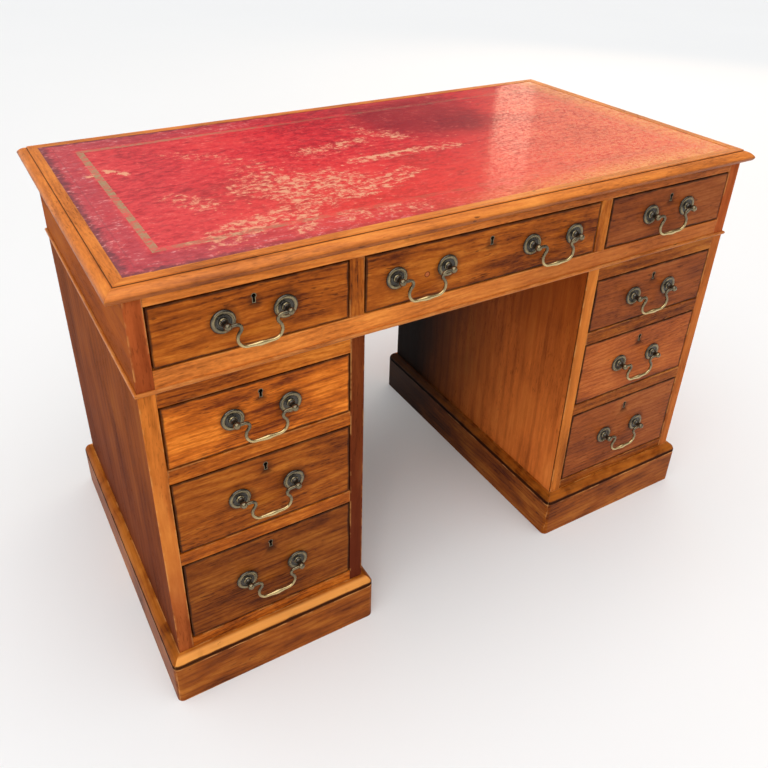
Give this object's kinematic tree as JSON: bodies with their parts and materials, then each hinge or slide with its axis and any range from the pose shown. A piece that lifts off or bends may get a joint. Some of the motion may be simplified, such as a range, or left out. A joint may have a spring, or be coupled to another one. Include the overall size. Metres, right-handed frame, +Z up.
{
  "type": "kneehole desk",
  "caption": "Wooden kneehole desk with an inset leather writing top, a row of frieze drawers and two drawer pedestals on plinths, with locks and swinging swan-neck bail handles.",
  "frame": {"origin": "on the floor under the middle of the desk", "axes": "+X right for someone facing the drawers, drawers open towards -Y, +Z up"},
  "size_m": [1.172, 0.6446, 0.775],
  "materials": {
    "polished_wood": "worn waxed polish, golden brown, open grain",
    "carcass_wood": "bare planed wood",
    "leather": "worn crimson with a gilt tooled band",
    "brass": "dark patina, bright where handled",
    "lock_steel": "dull filed steel"
  },
  "bodies": {
    "carcass": {"top_panel": "carcass_wood", "top_rim": "polished_wood", "leather_top": "leather", "frieze_ends": "polished_wood", "frieze_back": "polished_wood", "frieze_rails": "polished_wood", "frieze_dividers": "polished_wood", "frieze_bead": "polished_wood", "left_pedestal_case": "polished_wood", "right_pedestal_case": "polished_wood", "left_plinth": "polished_wood", "right_plinth": "polished_wood", "pedestal_rails": "polished_wood", "drawer_runners": "carcass_wood"},
    "top_left_drawer": {"top_left_front": "polished_wood", "top_left_box": "carcass_wood", "top_left_fittings": "brass"},
    "top_left_bolt": {"top_left_lock_bolt": "lock_steel"},
    "top_left_handle": {"top_left_bail": "brass"},
    "top_centre_drawer": {"top_centre_front": "polished_wood", "top_centre_box": "carcass_wood", "top_centre_fittings": "brass"},
    "top_centre_bolt": {"top_centre_lock_bolt": "lock_steel"},
    "top_centre_left_handle": {"top_centre_left_bail": "brass"},
    "top_centre_right_handle": {"top_centre_right_bail": "brass"},
    "top_right_drawer": {"top_right_front": "polished_wood", "top_right_box": "carcass_wood", "top_right_fittings": "brass"},
    "top_right_bolt": {"top_right_lock_bolt": "lock_steel"},
    "top_right_handle": {"top_right_bail": "brass"},
    "left_upper_drawer": {"left_upper_front": "polished_wood", "left_upper_box": "carcass_wood", "left_upper_fittings": "brass"},
    "left_upper_bolt": {"left_upper_lock_bolt": "lock_steel"},
    "left_upper_handle": {"left_upper_bail": "brass"},
    "left_middle_drawer": {"left_middle_front": "polished_wood", "left_middle_box": "carcass_wood", "left_middle_fittings": "brass"},
    "left_middle_bolt": {"left_middle_lock_bolt": "lock_steel"},
    "left_middle_handle": {"left_middle_bail": "brass"},
    "left_lower_drawer": {"left_lower_front": "polished_wood", "left_lower_box": "carcass_wood", "left_lower_fittings": "brass"},
    "left_lower_bolt": {"left_lower_lock_bolt": "lock_steel"},
    "left_lower_handle": {"left_lower_bail": "brass"},
    "right_upper_drawer": {"right_upper_front": "polished_wood", "right_upper_box": "carcass_wood", "right_upper_fittings": "brass"},
    "right_upper_bolt": {"right_upper_lock_bolt": "lock_steel"},
    "right_upper_handle": {"right_upper_bail": "brass"},
    "right_middle_drawer": {"right_middle_front": "polished_wood", "right_middle_box": "carcass_wood", "right_middle_fittings": "brass"},
    "right_middle_bolt": {"right_middle_lock_bolt": "lock_steel"},
    "right_middle_handle": {"right_middle_bail": "brass"},
    "right_lower_drawer": {"right_lower_front": "polished_wood", "right_lower_box": "carcass_wood", "right_lower_fittings": "brass"},
    "right_lower_bolt": {"right_lower_lock_bolt": "lock_steel"},
    "right_lower_handle": {"right_lower_bail": "brass"}
  },
  "joints": [
    {"name": "top_left_drawer_slide", "type": "slide", "parent": "carcass", "child": "top_left_drawer", "axis": [0, -1, 0], "range_m": [0, 0.42]},
    {"name": "top_left_bolt_throw", "type": "slide", "parent": "top_left_drawer", "child": "top_left_bolt", "axis": [0, 0, 1], "range_m": [0, 0.008]},
    {"name": "top_left_handle_swing", "type": "hinge", "parent": "top_left_drawer", "child": "top_left_handle", "pos_m": [-0.3946, -0.3195, 0.69225], "axis": [-1, 0, 0], "range_deg": [-18, 198]},
    {"name": "top_centre_drawer_slide", "type": "slide", "parent": "carcass", "child": "top_centre_drawer", "axis": [0, -1, 0], "range_m": [0, 0.42]},
    {"name": "top_centre_bolt_throw", "type": "slide", "parent": "top_centre_drawer", "child": "top_centre_bolt", "axis": [0, 0, 1], "range_m": [0, 0.008]},
    {"name": "top_centre_left_handle_swing", "type": "hinge", "parent": "top_centre_drawer", "child": "top_centre_left_handle", "pos_m": [-0.12701, -0.3195, 0.69225], "axis": [-1, 0, 0], "range_deg": [-18, 198]},
    {"name": "top_centre_right_handle_swing", "type": "hinge", "parent": "top_centre_drawer", "child": "top_centre_right_handle", "pos_m": [0.12701, -0.3195, 0.69225], "axis": [-1, 0, 0], "range_deg": [-18, 198]},
    {"name": "top_right_drawer_slide", "type": "slide", "parent": "carcass", "child": "top_right_drawer", "axis": [0, -1, 0], "range_m": [0, 0.42]},
    {"name": "top_right_bolt_throw", "type": "slide", "parent": "top_right_drawer", "child": "top_right_bolt", "axis": [0, 0, 1], "range_m": [0, 0.008]},
    {"name": "top_right_handle_swing", "type": "hinge", "parent": "top_right_drawer", "child": "top_right_handle", "pos_m": [0.3946, -0.3195, 0.69225], "axis": [-1, 0, 0], "range_deg": [-18, 198]},
    {"name": "left_upper_drawer_slide", "type": "slide", "parent": "carcass", "child": "left_upper_drawer", "axis": [0, -1, 0], "range_m": [0, 0.42]},
    {"name": "left_upper_bolt_throw", "type": "slide", "parent": "left_upper_drawer", "child": "left_upper_bolt", "axis": [0, 0, 1], "range_m": [0, 0.008]},
    {"name": "left_upper_handle_swing", "type": "hinge", "parent": "left_upper_drawer", "child": "left_upper_handle", "pos_m": [-0.394, -0.3195, 0.531], "axis": [-1, 0, 0], "range_deg": [-18, 198]},
    {"name": "left_middle_drawer_slide", "type": "slide", "parent": "carcass", "child": "left_middle_drawer", "axis": [0, -1, 0], "range_m": [0, 0.42]},
    {"name": "left_middle_bolt_throw", "type": "slide", "parent": "left_middle_drawer", "child": "left_middle_bolt", "axis": [0, 0, 1], "range_m": [0, 0.008]},
    {"name": "left_middle_handle_swing", "type": "hinge", "parent": "left_middle_drawer", "child": "left_middle_handle", "pos_m": [-0.394, -0.3195, 0.38125], "axis": [-1, 0, 0], "range_deg": [-18, 198]},
    {"name": "left_lower_drawer_slide", "type": "slide", "parent": "carcass", "child": "left_lower_drawer", "axis": [0, -1, 0], "range_m": [0, 0.42]},
    {"name": "left_lower_bolt_throw", "type": "slide", "parent": "left_lower_drawer", "child": "left_lower_bolt", "axis": [0, 0, 1], "range_m": [0, 0.008]},
    {"name": "left_lower_handle_swing", "type": "hinge", "parent": "left_lower_drawer", "child": "left_lower_handle", "pos_m": [-0.394, -0.3195, 0.2045], "axis": [-1, 0, 0], "range_deg": [-18, 198]},
    {"name": "right_upper_drawer_slide", "type": "slide", "parent": "carcass", "child": "right_upper_drawer", "axis": [0, -1, 0], "range_m": [0, 0.42]},
    {"name": "right_upper_bolt_throw", "type": "slide", "parent": "right_upper_drawer", "child": "right_upper_bolt", "axis": [0, 0, 1], "range_m": [0, 0.008]},
    {"name": "right_upper_handle_swing", "type": "hinge", "parent": "right_upper_drawer", "child": "right_upper_handle", "pos_m": [0.394, -0.3195, 0.531], "axis": [-1, 0, 0], "range_deg": [-18, 198]},
    {"name": "right_middle_drawer_slide", "type": "slide", "parent": "carcass", "child": "right_middle_drawer", "axis": [0, -1, 0], "range_m": [0, 0.42]},
    {"name": "right_middle_bolt_throw", "type": "slide", "parent": "right_middle_drawer", "child": "right_middle_bolt", "axis": [0, 0, 1], "range_m": [0, 0.008]},
    {"name": "right_middle_handle_swing", "type": "hinge", "parent": "right_middle_drawer", "child": "right_middle_handle", "pos_m": [0.394, -0.3195, 0.38125], "axis": [-1, 0, 0], "range_deg": [-18, 198]},
    {"name": "right_lower_drawer_slide", "type": "slide", "parent": "carcass", "child": "right_lower_drawer", "axis": [0, -1, 0], "range_m": [0, 0.42]},
    {"name": "right_lower_bolt_throw", "type": "slide", "parent": "right_lower_drawer", "child": "right_lower_bolt", "axis": [0, 0, 1], "range_m": [0, 0.008]},
    {"name": "right_lower_handle_swing", "type": "hinge", "parent": "right_lower_drawer", "child": "right_lower_handle", "pos_m": [0.394, -0.3195, 0.2045], "axis": [-1, 0, 0], "range_deg": [-18, 198]}
  ]
}
